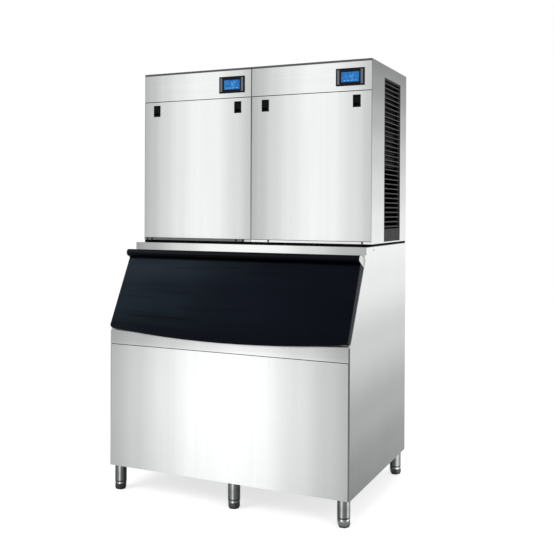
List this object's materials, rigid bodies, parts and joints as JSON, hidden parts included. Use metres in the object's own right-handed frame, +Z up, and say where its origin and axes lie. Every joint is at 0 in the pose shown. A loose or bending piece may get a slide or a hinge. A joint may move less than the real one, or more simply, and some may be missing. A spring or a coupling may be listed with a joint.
{
  "type": "modular cube ice machine",
  "caption": "Two ice-making heads side by side on an insulated storage bin with a sloping hinged lid, louvred sides and levelling legs.",
  "frame": {"origin": "on the floor, under the middle of the bounding box", "axes": "+Z up, -Y towards the lid and doors, +X to the right seen from the front"},
  "size_m": [1.22, 0.9161, 2.045],
  "materials": {
    "stainless": "satin brushed",
    "galvanised": "dull galvanised",
    "fins": "mill finish",
    "plated_copper": "nickel plated",
    "leg_chrome": "polished",
    "foam": "closed-cell foam",
    "liner": "moulded",
    "white_plastic": "moulded",
    "curtain": "smoked",
    "lid_plastic": "semi-gloss moulded",
    "black_plastic": "fine texture",
    "black_paint": "semi-gloss",
    "rubber": "matte",
    "screen": "lit blue"
  },
  "bodies": {
    "machine": {"bin_shell": "stainless", "bin_insulation": "foam", "bin_liner": "liner", "bin_front_panel": "stainless", "bin_sill": "stainless", "bin_top_deck": "stainless", "bin_gasket": "rubber", "hinge_rod": "stainless", "leg_left_front": "leg_chrome", "leg_middle_front": "leg_chrome", "leg_right_front": "leg_chrome", "leg_left_rear": "leg_chrome", "leg_middle_rear": "leg_chrome", "leg_right_rear": "leg_chrome", "left_chassis": "galvanised", "left_side_left": "stainless", "left_side_right": "stainless", "left_top_cover": "stainless", "left_fascia": "stainless", "left_display_bezel": "black_plastic", "left_display_screen": "screen", "left_grille": "black_paint", "left_evaporator": "plated_copper", "left_trough": "white_plastic", "left_compressor": "black_paint", "left_condenser": "fins", "right_chassis": "galvanised", "right_side_left": "stainless", "right_side_right": "stainless", "right_top_cover": "stainless", "right_fascia": "stainless", "right_display_bezel": "black_plastic", "right_display_screen": "screen", "right_grille": "black_paint", "right_evaporator": "plated_copper", "right_trough": "white_plastic", "right_compressor": "black_paint", "right_condenser": "fins"},
    "lid": {"lid_shell": "lid_plastic", "lid_inner_pan": "lid_plastic"},
    "left_door": {"left_door": "stainless", "left_latch_housing_left": "black_plastic", "left_latch_housing_right": "black_plastic"},
    "left_latch_left": {"left_latch_paddle_left": "black_plastic"},
    "left_latch_right": {"left_latch_paddle_right": "black_plastic"},
    "left_fan": {"left_fan": "black_plastic"},
    "left_curtain": {"left_curtain": "curtain"},
    "right_door": {"right_door": "stainless", "right_latch_housing_left": "black_plastic", "right_latch_housing_right": "black_plastic"},
    "right_latch_left": {"right_latch_paddle_left": "black_plastic"},
    "right_latch_right": {"right_latch_paddle_right": "black_plastic"},
    "right_fan": {"right_fan": "black_plastic"},
    "right_curtain": {"right_curtain": "curtain"},
    "foot_left_front": {"foot_left_front": "leg_chrome"},
    "foot_middle_front": {"foot_middle_front": "leg_chrome"},
    "foot_right_front": {"foot_right_front": "leg_chrome"},
    "foot_left_rear": {"foot_left_rear": "leg_chrome"},
    "foot_middle_rear": {"foot_middle_rear": "leg_chrome"},
    "foot_right_rear": {"foot_right_rear": "leg_chrome"}
  },
  "joints": [
    {"name": "lid_hinge", "type": "hinge", "parent": "machine", "child": "lid", "pos_m": [0, -0.28221, 1.13846], "axis": [-1, 0, 0], "range_deg": [0, 120]},
    {"name": "left_door_hinge", "type": "hinge", "parent": "machine", "child": "left_door", "pos_m": [-0.3055, -0.13657, 1.2105], "axis": [1, 0, 0], "range_deg": [0, 25]},
    {"name": "left_latch_left", "type": "hinge", "parent": "left_door", "child": "left_latch_left", "pos_m": [-0.5365, -0.13357, 1.8707], "axis": [-1, 0, 0], "range_deg": [0, 45]},
    {"name": "left_latch_right", "type": "hinge", "parent": "left_door", "child": "left_latch_right", "pos_m": [-0.0745, -0.13357, 1.8707], "axis": [-1, 0, 0], "range_deg": [0, 45]},
    {"name": "left_fan", "type": "hinge", "parent": "machine", "child": "left_fan", "pos_m": [-0.52, 0.19193, 1.773], "axis": [1, 0, 0], "continuous": true},
    {"name": "left_curtain", "type": "hinge", "parent": "machine", "child": "left_curtain", "pos_m": [-0.2005, 0.03343, 1.855], "axis": [-1, 0, 0], "range_deg": [0, 20]},
    {"name": "right_door_hinge", "type": "hinge", "parent": "machine", "child": "right_door", "pos_m": [0.3055, -0.13657, 1.2105], "axis": [1, 0, 0], "range_deg": [0, 25]},
    {"name": "right_latch_left", "type": "hinge", "parent": "right_door", "child": "right_latch_left", "pos_m": [0.0745, -0.13357, 1.8707], "axis": [-1, 0, 0], "range_deg": [0, 45]},
    {"name": "right_latch_right", "type": "hinge", "parent": "right_door", "child": "right_latch_right", "pos_m": [0.5365, -0.13357, 1.8707], "axis": [-1, 0, 0], "range_deg": [0, 45]},
    {"name": "right_fan", "type": "hinge", "parent": "machine", "child": "right_fan", "pos_m": [0.52, 0.19193, 1.773], "axis": [1, 0, 0], "continuous": true},
    {"name": "right_curtain", "type": "hinge", "parent": "machine", "child": "right_curtain", "pos_m": [0.2005, 0.03343, 1.855], "axis": [-1, 0, 0], "range_deg": [0, 20]},
    {"name": "foot_left_front", "type": "slide", "parent": "machine", "child": "foot_left_front", "axis": [0, 0, -1], "range_m": [0, 0.025]},
    {"name": "foot_middle_front", "type": "slide", "parent": "machine", "child": "foot_middle_front", "axis": [0, 0, -1], "range_m": [0, 0.025]},
    {"name": "foot_right_front", "type": "slide", "parent": "machine", "child": "foot_right_front", "axis": [0, 0, -1], "range_m": [0, 0.025]},
    {"name": "foot_left_rear", "type": "slide", "parent": "machine", "child": "foot_left_rear", "axis": [0, 0, -1], "range_m": [0, 0.025]},
    {"name": "foot_middle_rear", "type": "slide", "parent": "machine", "child": "foot_middle_rear", "axis": [0, 0, -1], "range_m": [0, 0.025]},
    {"name": "foot_right_rear", "type": "slide", "parent": "machine", "child": "foot_right_rear", "axis": [0, 0, -1], "range_m": [0, 0.025]}
  ]
}
